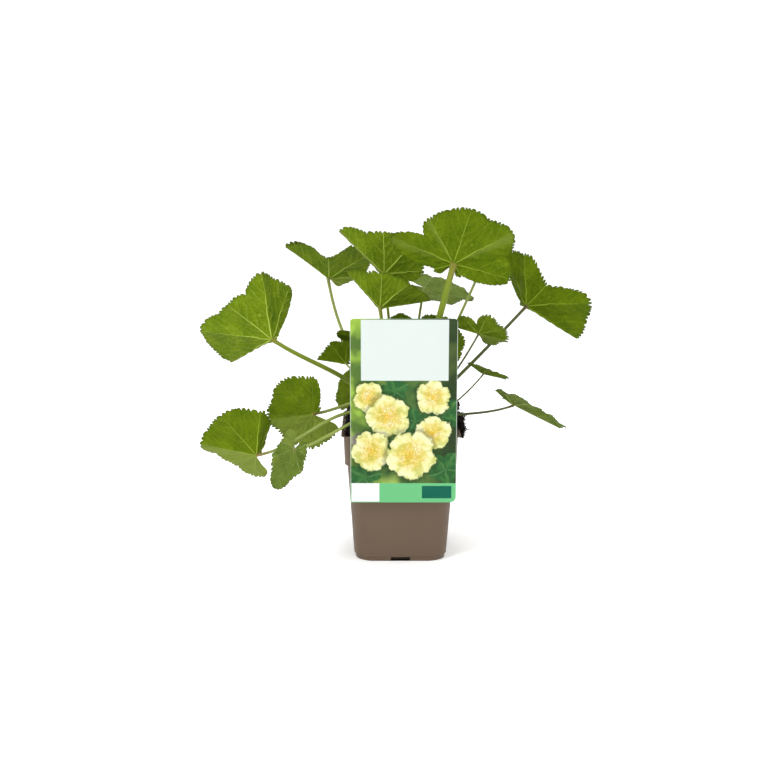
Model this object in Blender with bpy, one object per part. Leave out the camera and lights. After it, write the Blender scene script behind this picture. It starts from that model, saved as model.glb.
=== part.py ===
# Potted hollyhock in a square one-litre nursery pot, with the plant label that hooks over its rim.
# Metres, +Z up, front of the pot towards -Y. The origin is the middle of the pot's flat underside.
import math

import bmesh
import bpy
import numpy as np
from mathutils import Vector

for old in list(bpy.data.objects):
    bpy.data.objects.remove(old, do_unlink=True)

# Play between neighbouring pieces
GAP = 0.0003

# Pot: half widths of the square at each level, taken outside
POT_HEIGHT = 0.122
POT_FOOT_HALF = 0.042
POT_FOOT_HEIGHT = 0.0035
POT_BODY_LOW_HALF = 0.0434
POT_BODY_HIGH_HALF = 0.0492
POT_COLLAR_BOTTOM = 0.094
POT_COLLAR_LOW_HALF = 0.0516
POT_COLLAR_HIGH_HALF = 0.0524
POT_LIP_HALF = 0.055
POT_LIP_THICK = 0.0014
POT_WALL = 0.0012
POT_FLOOR = 0.0015
POT_CORNER_LOW = 0.017
POT_CORNER_HIGH = 0.009
CORNER_STEPS = 5

# Drain notch in the middle of each side's foot
NOTCH_WIDTH = 0.018
NOTCH_HEIGHT = 0.0042
NOTCH_DEPTH = 0.012

# Soil: level at the pot wall, flat disc under the crown, size of the crumbs
SOIL_EDGE_Z = 0.114
SOIL_MIDDLE_Z = 0.1182
SOIL_DISC = 0.016
SOIL_RINGS = 6
SOIL_CRUMB = 0.0012

# Crown: the short stub at soil level that every leaf stalk leaves
CROWN_Z = 0.119
CROWN_RADIUS = 0.014

# Leaf: a main vein every LOBE degrees, and an open gap past SINUS degrees. A cupped blade may wrap
# round as far as MAX_WRAP. Thickness, pleats and the width over which a crease bends are shares of
# the leaf's length. The ears beside the gap narrow to EAR_WAIST over EAR_TURN degrees.
LOBE = 44.0
SINUS = 154.0
MAX_WRAP = 175.0
OUTLINE_STEPS = 28
BLADE_RINGS = (0.30, 0.65, 1.0)
LEAF_THICK_MIN = 0.0009
LEAF_THICK_SHARE = 0.018
PLEAT = 0.035
CREASE_REACH = 0.22
EAR_TURN = 16.0
EAR_WAIST = 0.72

# Leaf stalk: thicker at the crown, thinner at the blade, as shares of its own radius
STALK_ROOT = 1.15
STALK_TIP = 0.85
STALK_STEPS = 9
STALK_ROUND = 1

# Peat lumps are eight-sided
PEAT_SIDES = 8

# Label: a thin plastic card with a tongue behind the pot's front wall
LABEL_LEFT = -0.046
LABEL_RIGHT = 0.0505
LABEL_BOTTOM = 0.0615
LABEL_TOP = 0.232
LABEL_BACK = -(POT_LIP_HALF + GAP)
LABEL_THICK = 0.0006
LABEL_TOP_CORNER = 0.0035
LABEL_FOOT_CORNER = 0.006
LABEL_CORNER_POINTS = 5
TONGUE_WIDTH = 0.034
TONGUE_DROP = 0.0072

COLOURS = {
    "pot": (0.175, 0.125, 0.088),
    "soil": (0.020, 0.013, 0.009),
    "crown": (0.16, 0.20, 0.05),
    "stalk": (0.24, 0.30, 0.08),
    "leaf": (0.115, 0.235, 0.022),
    "label": (0.62, 0.74, 0.60),
}


def leaf(place, joint, aim, lean, face, length, stem, root, **form):
    """One leaf. Angles in degrees, sizes in metres.

    joint   point where the stalk meets the blade
    aim     direction of the middle vein as seen from the front, counted up from +X
    lean    how far the middle vein comes forward, towards -Y
    face    turn about the middle vein: 0 shows the underside to the front, 180 the upper side
    length  middle vein; stem is the stalk's radius; root is where it leaves the crown (bearing, height)
    cup     rise of the whole blade to a funnel; fold, the extra rise of its two halves
    creases more rise past a main vein, by the vein's number: 1 and -1 are beside the middle vein
    lobes   lengths of the seven lobes as shares of length, from one side of the sinus to the other
    notches depths of the six notches between the lobes, as shares
    hook, start, reach shape the stalk's curve
    """
    row = dict(cup=0, fold=(0, 0), creases={}, ruffle=0.02, hook=0.35, start=0.25, reach=0.35,
               lobes=(0.66, 0.80, 0.93, 1.0, 0.93, 0.80, 0.66), notches=(0.08,) * 6)
    row.update(form, place=place, joint=joint, aim=aim, lean=lean, face=face, length=length,
               stem=stem, root=root)
    return row


LEAVES = [
    leaf("left_high", (-0.119, -0.020, 0.2075), 141, 12, 0, 0.064, 0.0022, (178, 48), cup=8, fold=(0, 25),
         creases={2: 40, 1: 14, -1: 38}, lobes=(0.10, 0.85, 0.97, 0.80, 1.10, 1.08, 0.45),
         notches=(0.05, 0.05, 0.22, 0.10, -0.02, 0.0), hook=0.05, start=0.45),
    leaf("upper_left", (-0.069, 0.075, 0.251), 89, 50, 0, 0.060, 0.0016, (140, 58), fold=(5, 10),
         creases={1: 100}, lobes=(0.30, 0.60, 0.95, 0.60, 1.0, 0.38, 0.20),
         notches=(0.05, 0.05, -0.25, -0.06, 0.05, 0.05), hook=0.6, reach=0.62),
    leaf("top_middle", (-0.015, 0.015, 0.263), 91, 15, 0, 0.060, 0.0014, (100, 62), cup=3,
         creases={1: 72}, lobes=(0.30, 0.62, 0.80, 0.68, 0.98, 0.50, 0.30),
         notches=(0.05, 0.05, 0.10, 0.14, 0.05, 0.05)),
    leaf("front_middle", (-0.019, -0.012, 0.235), 87, 20, 0, 0.047, 0.0019, (250, 66), cup=3,
         creases={-2: 80, 1: 75, -1: 15}, lobes=(0.15, 1.0, 0.78, 0.76, 0.97, 0.60, 0.30)),
    leaf("top_right", (0.047, -0.038, 0.279), 74, 20, 0, 0.063, 0.0032, (325, 60), cup=5, hook=0.25,
         creases={1: 10, -1: -10}, lobes=(0.22, 0.84, 0.95, 0.85, 0.76, 0.98, 0.35),
         notches=(0.05, 0.16, 0.08, 0.03, 0.34, 0.05)),
    leaf("behind_top", (0.0245, 0.078, 0.2415), -13, 10, 100, 0.050, 0.0013, (60, 60)),
    leaf("right_high", (0.119, 0.014, 0.233), 50, 15, 0, 0.060, 0.0016, (0, 38),
         creases={-2: 80, 1: 60, -1: 15}, lobes=(0.30, 1.03, 1.0, 0.48, 0.84, 0.93, 0.30),
         notches=(0.05, 0.04, 0.10, 0.10, 0.03, 0.05), hook=0.15),
    leaf("right_small", (0.071, -0.025, 0.213), 74, 50, 0, 0.0335, 0.0010, (330, 34),
         creases={2: 80, -2: 10}, lobes=(0.72, 0.82, 0.86, 1.05, 0.87, 0.65, 0.30),
         notches=(0.05, 0.08, 0.12, 0.60, 0.08, 0.05)),
    leaf("right_edge_on", (0.076, -0.022, 0.175), -10, 50, 85, 0.026, 0.0008, (5, 10), cup=5, fold=(0, 20)),
    leaf("right_low", (0.106, -0.010, 0.143), -20, 40, 85, 0.054, 0.0012, (340, 28), fold=(0, 20),
         lobes=(0.50, 0.85, 1.0, 1.0, 0.80, 0.60, 0.40), hook=0.2),
    leaf("far_left_low", (-0.1315, -0.056, 0.1066), 128, 10, 0, 0.0505, 0.0015, (212, 34), fold=(0, 15),
         creases={1: 25, -1: 60}, lobes=(0.15, 0.70, 0.85, 1.0, 1.03, 0.60, 0.78),
         notches=(0.04, 0.04, -0.02, 0.03, 0.04, 0.04), hook=0.2, start=0.50),
    leaf("left_low", (-0.081, -0.028, 0.138), 180, 10, 180, 0.044, 0.0016, (205, 62),
         lobes=(0.66, 0.74, 0.78, 0.97, 1.0, 0.80, 0.20), notches=(0.08, 0.08, 0.08, 0.06, 0.0, 0.08),
         hook=0.2, start=0.45),
    leaf("front_left_low", (-0.095, -0.084, 0.120), 244, 10, 215, 0.0395, 0.0014, (236, 34),
         lobes=(0.30, 0.38, 0.58, 1.0, 0.60, 0.42, 0.48), start=0.45),
    leaf("left_small", (-0.051, -0.030, 0.1865), 170, 20, 0, 0.026, 0.0010, (262, 34), cup=5, fold=(0, 75)),
    leaf("left_tiny", (-0.043, -0.010, 0.2065), 160, 20, 20, 0.018, 0.0010, (180, 85),
         lobes=(0.30, 0.30, 0.38, 1.0, 0.62, 0.80, 0.60), fold=(0, 30)),
    leaf("middle_small", (0.000, -0.020, 0.219), 90, 20, 0, 0.014, 0.0009, (280, 45)),
    leaf("back_low", (-0.014, 0.062, 0.168), 105, -50, 180, 0.040, 0.0014, (110, 20), cup=12),
    leaf("back_right_low", (0.034, 0.058, 0.186), 55, -45, 180, 0.035, 0.0013, (50, 20), cup=12),
    leaf("back_left_low", (-0.044, 0.060, 0.140), 150, -60, 180, 0.028, 0.0012, (150, 14), cup=8),
    leaf("back_foot", (0.016, 0.068, 0.136), 70, -75, 180, 0.032, 0.0012, (80, 10), cup=5, start=0.4),
    leaf("back_right_high", (0.079, 0.053, 0.264), 80, -40, 180, 0.031, 0.0014, (25, 52), cup=15),
]

# Peat that spills over the rim: bent tapering lumps, as centre points and radii
PEAT = {
    "peat_right": ([(0.0450, 0.014, 0.1205), (0.0500, 0.015, 0.1265), (0.0560, 0.016, 0.1272),
                    (0.0592, 0.016, 0.1225), (0.0596, 0.017, 0.1130)],
                   (0.0030, 0.0036, 0.0034, 0.0032, 0.0016)),
    "peat_left": ([(-0.0440, 0.020, 0.1175), (-0.0445, 0.022, 0.1235), (-0.0450, 0.025, 0.1295)],
                  (0.0028, 0.0044, 0.0022)),
}


def paint(obj, colour, roughness):
    """Gives the object a Principled material of its own."""
    mat = bpy.data.materials.new(obj.name)
    mat.use_nodes = True
    shader = mat.node_tree.nodes["Principled BSDF"]
    shader.inputs["Base Color"].default_value = (*colour, 1.0)
    shader.inputs["Roughness"].default_value = roughness
    shader.inputs["Metallic"].default_value = 0.0
    obj.data.materials.append(mat)


def new_mesh(name, vertices, faces):
    """A mesh object whose faces all turn outward."""
    mesh = bpy.data.meshes.new(name)
    mesh.from_pydata([tuple(v) for v in vertices], [], faces)
    bm = bmesh.new()
    bm.from_mesh(mesh)
    bmesh.ops.recalc_face_normals(bm, faces=bm.faces)
    bm.to_mesh(mesh)
    bm.free()
    obj = bpy.data.objects.new(name, mesh)
    bpy.context.collection.objects.link(obj)
    return obj


def rounded_square(half, corner, z):
    """Points of a square with rounded corners, counter-clockwise from the right front corner."""
    points = []
    for turn in range(4):
        for step in range(CORNER_STEPS + 1):
            a = math.radians(90 * turn - 90 + 90 * step / CORNER_STEPS)
            middle = math.radians(90 * turn - 45)
            cx = (half - corner) * math.copysign(1, math.cos(middle))
            cy = (half - corner) * math.copysign(1, math.sin(middle))
            points.append(Vector((cx + corner * math.cos(a), cy + corner * math.sin(a), z)))
    return points


def loft(name, rings):
    """Closed solid through rings of equal count, with flat ends."""
    count = len(rings[0])
    vertices = [p for ring in rings for p in ring]
    faces = [list(range(count)), list(range(len(vertices) - count, len(vertices)))]
    for r in range(len(rings) - 1):
        for k in range(count):
            m = (k + 1) % count
            faces.append([r * count + k, r * count + m, (r + 1) * count + m, (r + 1) * count + k])
    return new_mesh(name, vertices, faces)


def pot_corner(z):
    """Corner radius of the pot at height z."""
    return POT_CORNER_LOW + (POT_CORNER_HIGH - POT_CORNER_LOW) * z / POT_HEIGHT


def cavity_half(z):
    """Inside half width of the pot at height z."""
    body = POT_BODY_LOW_HALF + (POT_BODY_HIGH_HALF - POT_BODY_LOW_HALF) * z / POT_COLLAR_BOTTOM
    rise = (z - POT_COLLAR_BOTTOM) / (POT_HEIGHT - POT_COLLAR_BOTTOM)
    collar = POT_COLLAR_LOW_HALF + (POT_COLLAR_HIGH_HALF - POT_COLLAR_LOW_HALF) * rise
    foot = POT_FOOT_HALF + (POT_BODY_LOW_HALF - POT_FOOT_HALF) * z / (2 * POT_FOOT_HEIGHT)
    outside = min(foot, body) if z < POT_COLLAR_BOTTOM + POT_WALL else collar
    return outside - POT_WALL


def build_pot():
    """The pot's shell: foot, tapering body, stepped collar and rolled-out lip."""
    lip = POT_HEIGHT - POT_LIP_THICK
    outside = [
        (0.0, POT_FOOT_HALF),
        (POT_FOOT_HEIGHT, POT_FOOT_HALF),
        (POT_FOOT_HEIGHT + POT_WALL, POT_BODY_LOW_HALF),
        (POT_COLLAR_BOTTOM - POT_WALL, POT_BODY_HIGH_HALF),
        (POT_COLLAR_BOTTOM, POT_COLLAR_LOW_HALF),
        (lip - POT_WALL, POT_COLLAR_HIGH_HALF),
        (lip, POT_LIP_HALF),
        (POT_HEIGHT, POT_LIP_HALF),
    ]
    step = POT_COLLAR_BOTTOM + POT_WALL
    inside = [(z, cavity_half(z)) for z in (POT_HEIGHT, step + POT_WALL, step - GAP, POT_FLOOR)]
    rings = [rounded_square(half, pot_corner(z), z) for z, half in outside]
    rings += [rounded_square(half, pot_corner(z) - POT_WALL, z) for z, half in inside]
    pot = loft("pot", rings)
    for turn in range(4):
        bpy.ops.mesh.primitive_cube_add(size=1)
        cutter = bpy.context.object
        cutter.name = "notch_cutter_%d" % turn
        cutter.scale = (NOTCH_WIDTH, NOTCH_DEPTH, 2 * NOTCH_HEIGHT)
        cutter.rotation_euler.z = math.radians(90 * turn)
        out = Vector((math.sin(cutter.rotation_euler.z), -math.cos(cutter.rotation_euler.z), 0))
        cutter.location = out * POT_FOOT_HALF
        cutter.hide_render = True
        cutter.display_type = "WIRE"
        cut = pot.modifiers.new("notch_%d" % turn, "BOOLEAN")
        cut.operation = "DIFFERENCE"
        cut.object = cutter
    paint(pot, COLOURS["pot"], 0.6)


def build_soil():
    """Root ball that fills the pot, with a crumbly mound flat under the crown."""
    rng = np.random.default_rng(7)
    step = POT_COLLAR_BOTTOM + POT_WALL
    profile = (
        (POT_FLOOR + GAP, cavity_half(POT_FLOOR)),
        (step, cavity_half(step - GAP)),
        (step + POT_WALL + 2 * GAP, cavity_half(step + POT_WALL)),
        (SOIL_EDGE_Z, cavity_half(SOIL_EDGE_Z)),
    )
    rings = []
    for z, half in profile:
        rings.append(rounded_square(half - GAP, pot_corner(z) - POT_WALL - GAP, z))
    edge = rings[-1]
    for ring in range(1, SOIL_RINGS + 1):
        share = ring / SOIL_RINGS
        circle = []
        for p in edge:
            disc = Vector((p.x, p.y, 0)).normalized() * SOIL_DISC
            spot = Vector((p.x, p.y, 0)).lerp(disc, share)
            rise = (SOIL_MIDDLE_Z - SOIL_EDGE_Z) * math.sin(share * math.pi / 2)
            crumb = SOIL_CRUMB * rng.uniform(-1, 1) * (1 - share)
            circle.append(Vector((spot.x, spot.y, SOIL_EDGE_Z + rise + crumb)))
        rings.append(circle)
    paint(loft("soil", rings), COLOURS["soil"], 0.95)


def build_crown():
    """Domed stub that stands on the soil."""
    bpy.ops.mesh.primitive_uv_sphere_add(segments=20, ring_count=12, radius=CROWN_RADIUS,
                                         location=(0, 0, CROWN_Z))
    crown = bpy.context.object
    crown.name = "crown"
    bm = bmesh.new()
    bm.from_mesh(crown.data)
    floor = SOIL_MIDDLE_Z + GAP - CROWN_Z
    bmesh.ops.bisect_plane(bm, geom=bm.verts[:] + bm.edges[:] + bm.faces[:], plane_co=(0, 0, floor),
                           plane_no=(0, 0, -1), clear_outer=True)
    bmesh.ops.holes_fill(bm, edges=[e for e in bm.edges if e.is_boundary])
    bmesh.ops.recalc_face_normals(bm, faces=bm.faces)
    bm.to_mesh(crown.data)
    bm.free()
    paint(crown, COLOURS["crown"], 0.7)


def build_peat():
    """Lumps of peat and fine roots that lie on the soil and over the rim."""
    for name, (centres, radii) in PEAT.items():
        rings = []
        for k, (centre, radius) in enumerate(zip(centres, radii)):
            before = Vector(centres[max(k - 1, 0)])
            after = Vector(centres[min(k + 1, len(centres) - 1)])
            along = (after - before).normalized()
            side = along.cross(Vector((0, 1, 0))).normalized()
            up = along.cross(side)
            ring = []
            for turn in range(PEAT_SIDES):
                a = math.tau * turn / PEAT_SIDES
                ring.append(Vector(centre) + (side * math.cos(a) + up * math.sin(a)) * radius)
            rings.append(ring)
        paint(loft(name, rings), COLOURS["soil"], 1.0)


def leaf_axes(row):
    """Blade directions in the world: across, along the middle vein, and out of the upper side."""
    aim, lean, face = (math.radians(row[key]) for key in ("aim", "lean", "face"))
    across = np.array([math.cos(aim), 0.0, math.sin(aim)])
    back = np.array([0.0, 1.0, 0.0])
    along = math.cos(lean) * across - math.sin(lean) * back
    upper = math.sin(lean) * across + math.cos(lean) * back
    side = np.cross(along, upper)
    return (side * math.cos(face) - upper * math.sin(face), along,
            upper * math.cos(face) + side * math.sin(face))


def leaf_edge(row, phi):
    """Distance from the stalk to the leaf's edge at angle phi, as a share of its length."""
    degrees = np.degrees(phi)
    place = np.clip(degrees / LOBE + 3, 0, 6)
    first = np.clip(np.floor(place).astype(int), 0, 5)
    blend = place - first
    blend = blend * blend * (3 - 2 * blend)
    lobes = np.array(row["lobes"])
    body = lobes[first] * (1 - blend) + lobes[first + 1] * blend
    dip = 1 - np.abs(np.cos(np.pi * phi / math.radians(LOBE)))
    notch = 1 - np.array(row["notches"])[first] * np.where(np.abs(degrees) < 3 * LOBE, dip, 0)
    ear = np.clip((SINUS - np.abs(degrees)) / EAR_TURN, 0, 1)
    return body * notch * (EAR_WAIST + (1 - EAR_WAIST) * np.sqrt(ear * (2 - ear)))


def leaf_surface(row, phi, share):
    """World points of the blade's middle surface at angle phi and share of the way to the edge."""
    length = row["length"]
    lobe = math.radians(LOBE)
    r = share * leaf_edge(row, phi) * length
    cup = math.radians(row["cup"])
    wrap = min(1 / math.cos(cup), MAX_WRAP / SINUS)
    u = r * math.cos(cup) * np.sin(phi * wrap)
    v = r * math.cos(cup) * np.cos(phi * wrap)
    z = r * math.sin(cup) + PLEAT * r * share * (1 - np.abs(np.cos(np.pi * phi / lobe)))
    z = z + row["ruffle"] * length * share ** 2 * np.sin(3 * phi)
    bends = [(vein, math.copysign(1, vein), rise) for vein, rise in row["creases"].items()]
    for vein, hand, rise in bends + [(0, -1, row["fold"][0]), (0, 1, row["fold"][1])]:
        turn = vein * lobe * wrap
        off = hand * (u * math.cos(turn) - v * math.sin(turn))
        on = u * math.sin(turn) + v * math.cos(turn)
        reach = np.clip(off / (CREASE_REACH * length), 0, 1)
        tilt = math.radians(rise) * reach * (2 - reach) * (hand * (phi * wrap - turn) > 0)
        off, z = off * np.cos(tilt) - z * np.sin(tilt), off * np.sin(tilt) + z * np.cos(tilt)
        u = hand * off * math.cos(turn) + on * math.sin(turn)
        v = on * math.cos(turn) - hand * off * math.sin(turn)
    side, along, upper = leaf_axes(row)
    return np.array(row["joint"]) + u[..., None] * side + v[..., None] * along + z[..., None] * upper


def leaf_thickness(row):
    return max(LEAF_THICK_MIN, LEAF_THICK_SHARE * row["length"])


def build_blade(row):
    """Thin closed blade: an upper and a lower skin joined by its edge."""
    phi = np.radians(np.linspace(-SINUS, SINUS, OUTLINE_STEPS + 1))
    middle = [leaf_surface(row, phi, np.full_like(phi, share)) for share in BLADE_RINGS]
    apex = np.array(row["joint"])
    points = [apex] + [p for ring in middle for p in ring]
    count = len(phi)
    faces = []
    for k in range(count - 1):
        faces.append((0, 1 + k, 2 + k))
        for r in range(len(BLADE_RINGS) - 1):
            low = 1 + r * count + k
            faces.append((low, low + count, low + count + 1, low + 1))
    blade = new_mesh("leaf_" + row["place"], points, faces)
    skin = blade.modifiers.new("thickness", "SOLIDIFY")
    skin.thickness = leaf_thickness(row)
    skin.offset = 0.0
    skin.use_even_offset = False
    paint(blade, COLOURS["leaf"], 0.55)


def stalk_handles(row):
    """The four control points of the stalk's curve, from the crown to just under the blade."""
    bearing, height = (math.radians(angle) for angle in row["root"])
    out = np.array([math.cos(bearing) * math.cos(height), math.sin(bearing) * math.cos(height),
                    math.sin(height)])
    start = np.array([0, 0, CROWN_Z]) + out * (CROWN_RADIUS + GAP)
    joint = np.array(row["joint"])
    under = leaf_axes(row)[2]
    way = (start - joint) / np.linalg.norm(start - joint)
    into = (1 - row["hook"]) * way - row["hook"] * under
    into = into / np.linalg.norm(into)
    rim = under - float(into @ under) * into
    rim = rim / np.linalg.norm(rim) * row["stem"] * STALK_TIP
    end = joint - under * (leaf_thickness(row) / 2 + GAP) - rim
    distance = np.linalg.norm(start - end)
    return (start, start + out * distance * row["start"], end + into * distance * row["reach"], end)


def build_stalk(row):
    """Leaf stalk: one Bezier curve with a tapering round bevel."""
    curve = bpy.data.curves.new("stalk_" + row["place"], "CURVE")
    curve.dimensions = "3D"
    curve.resolution_u = STALK_STEPS
    curve.bevel_depth = row["stem"]
    curve.bevel_resolution = STALK_ROUND
    curve.use_fill_caps = True
    spline = curve.splines.new("BEZIER")
    spline.bezier_points.add(1)
    start, leave, arrive, end = (Vector(p) for p in stalk_handles(row))
    for point, place, before, after, size in (
            (spline.bezier_points[0], start, 2 * start - leave, leave, STALK_ROOT),
            (spline.bezier_points[1], end, arrive, 2 * end - arrive, STALK_TIP)):
        point.handle_left_type = "FREE"
        point.handle_right_type = "FREE"
        point.co = place
        point.handle_left = before
        point.handle_right = after
        point.radius = size
    stalk = bpy.data.objects.new(curve.name, curve)
    bpy.context.collection.objects.link(stalk)
    paint(stalk, COLOURS["stalk"], 0.5)


def box(name, low, high):
    """Axis-parallel box between two corners."""
    bpy.ops.mesh.primitive_cube_add(size=1)
    cube = bpy.context.object
    cube.name = name
    cube.scale = Vector(high) - Vector(low)
    cube.location = (Vector(low) + Vector(high)) / 2
    return cube


def build_label():
    """Plastic card in front of the rim, with an arm over the lip and a tongue behind the wall."""
    front = LABEL_BACK - LABEL_THICK
    corners = [
        (LABEL_LEFT, LABEL_BOTTOM, 0.0, 180),
        (LABEL_RIGHT, LABEL_BOTTOM, LABEL_FOOT_CORNER, 270),
        (LABEL_RIGHT, LABEL_TOP, LABEL_TOP_CORNER, 0),
        (LABEL_LEFT, LABEL_TOP, LABEL_TOP_CORNER, 90),
    ]
    outline = []
    middle_x = (LABEL_LEFT + LABEL_RIGHT) / 2
    middle_z = (LABEL_BOTTOM + LABEL_TOP) / 2
    for x, z, corner, first in corners:
        cx = x - math.copysign(corner, x - middle_x)
        cz = z - math.copysign(corner, z - middle_z)
        steps = LABEL_CORNER_POINTS if corner else 1
        for step in range(steps):
            a = math.radians(first + 90 * step / max(steps - 1, 1))
            outline.append((cx + corner * math.cos(a), cz + corner * math.sin(a)))
    rings = [[Vector((x, y, z)) for x, z in outline] for y in (front, LABEL_BACK)]
    label = loft("label", rings)

    left = middle_x - TONGUE_WIDTH / 2
    right = middle_x + TONGUE_WIDTH / 2
    arm_low = POT_HEIGHT + GAP
    arm_high = arm_low + LABEL_THICK
    inner = -(cavity_half(POT_HEIGHT) - GAP)
    tongue_back = inner + LABEL_THICK
    arm = box("label_arm", (left, front + GAP, arm_low), (right, tongue_back, arm_high))
    tongue = box("label_tongue", (left, inner, arm_high - TONGUE_DROP), (right, tongue_back, arm_high))
    for piece in (arm, tongue):
        piece.hide_render = True
        piece.display_type = "WIRE"
        join = label.modifiers.new(piece.name, "BOOLEAN")
        join.operation = "UNION"
        join.object = piece
    paint(label, COLOURS["label"], 0.3)


build_pot()
build_soil()
build_crown()
build_peat()
build_label()
for row in LEAVES:
    build_stalk(row)
    build_blade(row)
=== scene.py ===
import math
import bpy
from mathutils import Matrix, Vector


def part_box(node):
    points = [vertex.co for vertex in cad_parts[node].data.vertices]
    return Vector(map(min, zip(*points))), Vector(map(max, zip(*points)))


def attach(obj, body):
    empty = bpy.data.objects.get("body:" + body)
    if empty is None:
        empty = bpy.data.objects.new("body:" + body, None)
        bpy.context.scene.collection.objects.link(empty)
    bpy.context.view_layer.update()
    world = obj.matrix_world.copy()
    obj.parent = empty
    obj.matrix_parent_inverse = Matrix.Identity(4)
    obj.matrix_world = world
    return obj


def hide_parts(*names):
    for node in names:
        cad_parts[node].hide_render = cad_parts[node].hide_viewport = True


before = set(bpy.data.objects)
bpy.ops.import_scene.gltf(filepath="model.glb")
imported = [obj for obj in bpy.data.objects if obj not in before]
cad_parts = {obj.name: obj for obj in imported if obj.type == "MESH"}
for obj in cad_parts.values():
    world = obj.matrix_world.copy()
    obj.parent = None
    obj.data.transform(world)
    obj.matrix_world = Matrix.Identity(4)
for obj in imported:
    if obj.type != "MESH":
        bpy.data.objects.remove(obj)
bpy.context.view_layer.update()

from types import SimpleNamespace

import bpy
import numpy as np
from mathutils import Vector, noise

# Nursery pot. A square one-litre pot of taupe recycled polypropylene, formed from one thin sheet:
# a foot with four drain notches, a tapering body, a stepped collar and a lip turned outward.
# Its inner wall shows only above the soil.
POT_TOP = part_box("pot")[1]
POT_HEIGHT = POT_TOP.z
POT_LIP_HALF = POT_TOP.x
POT_FOOT_HALF = 0.042
POT_FOOT_HEIGHT = 0.0035
POT_BODY_LOW_HALF = 0.0434
POT_BODY_HIGH_HALF = 0.0492
POT_COLLAR_BOTTOM = 0.094
POT_COLLAR_LOW_HALF = 0.0516
POT_COLLAR_HIGH_HALF = 0.0524
POT_WALL = 0.0012
POT_CORNER_LOW = 0.017
POT_CORNER_HIGH = 0.009
POT_CORNER_SEGMENTS = 10
POT_EDGE_ROUND = 0.0005
POT_BEND_ANGLE = 25
POT_SMOOTH_ANGLE = 32
NOTCH_WIDTH = 0.018
NOTCH_HEIGHT = 0.0042
NOTCH_DEPTH = 0.012
NOTCH_SILL = 0.0004
NOTCH_SLACK = 0.0002


def start_piece(name):
    """Names the primitive that was just added and goes into edit mode with nothing selected."""
    piece = bpy.context.object
    piece.name = name
    piece.data.name = name
    bpy.ops.object.mode_set(mode="EDIT")
    bpy.ops.mesh.select_all(action="DESELECT")
    return piece


def apply_modifier(piece, kind, **settings):
    made = piece.modifiers.new(kind.lower(), kind)
    for name, value in settings.items():
        setattr(made, name, value)
    bpy.context.view_layer.objects.active = piece
    bpy.ops.object.modifier_apply(modifier=made.name)


def shape_with_block(piece, operation, middle, size, heading=0.0):
    """Cuts a block away from a piece (DIFFERENCE) or joins it on (UNION)."""
    bpy.ops.mesh.primitive_cube_add(size=1, location=middle, rotation=(0, 0, heading), scale=size)
    block = bpy.context.object
    apply_modifier(piece, "BOOLEAN", operation=operation, object=block)
    bpy.data.objects.remove(block, do_unlink=True)


def pick(piece):
    """Selects this piece alone and makes it the active one."""
    bpy.ops.object.select_all(action="DESELECT")
    piece.select_set(True)
    bpy.context.view_layer.objects.active = piece


def square_outline(half, corner, z, segments):
    """A flat square with round corners, as a piece of its own with no face."""
    bpy.ops.mesh.primitive_plane_add(size=2 * half, location=(0, 0, z))
    outline = start_piece("outline")
    bpy.ops.mesh.select_all(action="SELECT")
    bpy.ops.mesh.bevel(offset=corner, segments=segments, affect="VERTICES")
    bpy.ops.mesh.delete(type="ONLY_FACE")
    bpy.ops.object.mode_set(mode="OBJECT")
    bpy.ops.object.transform_apply()
    return outline


def bridge_outlines(name, outlines):
    """Joins flat outlines and bridges each to the next, as one open shell."""
    bpy.ops.object.select_all(action="DESELECT")
    for outline in outlines:
        outline.select_set(True)
    bpy.context.view_layer.objects.active = outlines[0]
    bpy.ops.object.join()
    shell = start_piece(name)
    bpy.ops.mesh.select_all(action="SELECT")
    bpy.ops.mesh.bridge_edge_loops()
    bpy.ops.object.mode_set(mode="OBJECT")
    return shell


def fill_rim(piece, z):
    """Closes the open edge loop at height z with one face, and turns every face outwards."""
    bpy.ops.object.mode_set(mode="EDIT")
    bpy.ops.mesh.select_all(action="DESELECT")
    bpy.ops.object.mode_set(mode="OBJECT")
    for vertex in piece.data.vertices:
        vertex.select = abs(vertex.co.z - z) < 1e-5
    bpy.ops.object.mode_set(mode="EDIT")
    bpy.ops.mesh.select_mode(type="VERT")
    bpy.ops.mesh.edge_face_add()
    bpy.ops.mesh.select_all(action="SELECT")
    bpy.ops.mesh.normals_make_consistent(inside=False)
    bpy.ops.object.mode_set(mode="OBJECT")
    if min(piece.data.polygons, key=lambda face: face.center.z).normal.z > 0:
        piece.data.flip_normals()


def pot_corner(z):
    return POT_CORNER_LOW + (POT_CORNER_HIGH - POT_CORNER_LOW) * z / POT_HEIGHT


bpy.ops.object.select_all(action="DESELECT")
pot_levels = [
    (0.0, POT_FOOT_HALF),
    (POT_FOOT_HEIGHT, POT_FOOT_HALF),
    (POT_FOOT_HEIGHT + POT_WALL, POT_BODY_LOW_HALF),
    (POT_COLLAR_BOTTOM - POT_WALL, POT_BODY_HIGH_HALF),
    (POT_COLLAR_BOTTOM, POT_COLLAR_LOW_HALF),
    (POT_HEIGHT - POT_WALL, POT_COLLAR_HIGH_HALF),
    (POT_HEIGHT, POT_LIP_HALF),
]
pot_rings = [square_outline(half, pot_corner(z), z, POT_CORNER_SEGMENTS) for z, half in pot_levels]
pot = bridge_outlines("nursery_pot", pot_rings)
fill_rim(pot, 0.0)
apply_modifier(pot, "SOLIDIFY", thickness=POT_WALL, offset=-1, use_even_offset=True,
               use_quality_normals=True)
apply_modifier(pot, "BEVEL", width=POT_EDGE_ROUND, segments=2, limit_method="ANGLE",
               angle_limit=math.radians(POT_BEND_ANGLE), use_clamp_overlap=True)
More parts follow.
